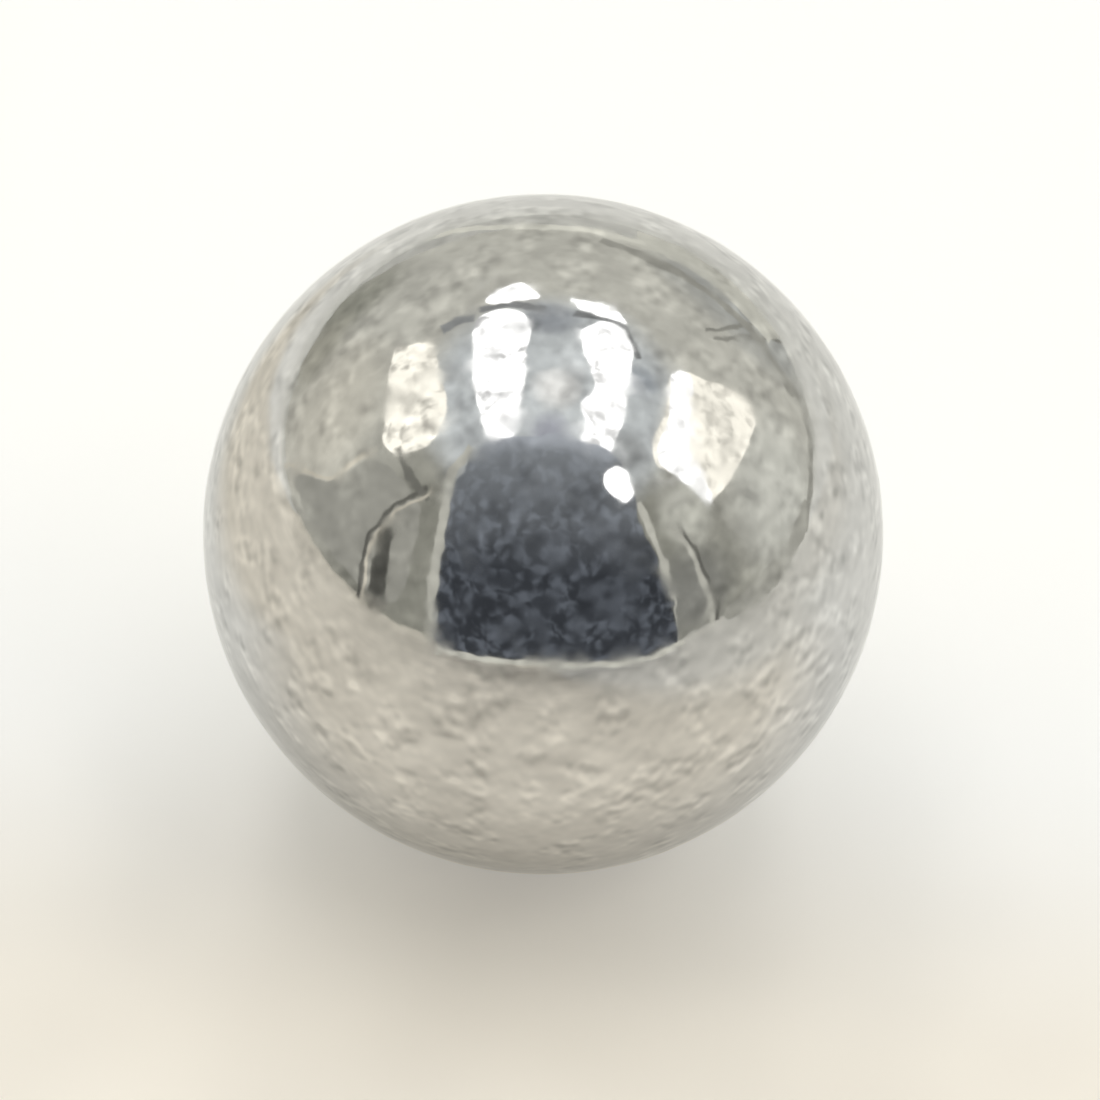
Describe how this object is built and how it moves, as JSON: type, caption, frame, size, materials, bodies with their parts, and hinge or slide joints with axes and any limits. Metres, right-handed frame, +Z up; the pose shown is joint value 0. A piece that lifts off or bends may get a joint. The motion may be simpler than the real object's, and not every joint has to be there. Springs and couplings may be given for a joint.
{
  "type": "silver ball",
  "caption": "Solid round ball of mirror-polished, silver-coloured steel that rolls, carries a load or seats in a cup, socket or race.",
  "frame": {"origin": "centre of the ball", "axes": "+Z up, away from the surface that the ball stands on; X and Y level, +Y away from the camera"},
  "size_m": [0.0126, 0.0126, 0.0126],
  "materials": {
    "polished_steel": "polished"
  },
  "bodies": {
    "root": {"ball": "polished_steel"}
  },
  "joints": []
}
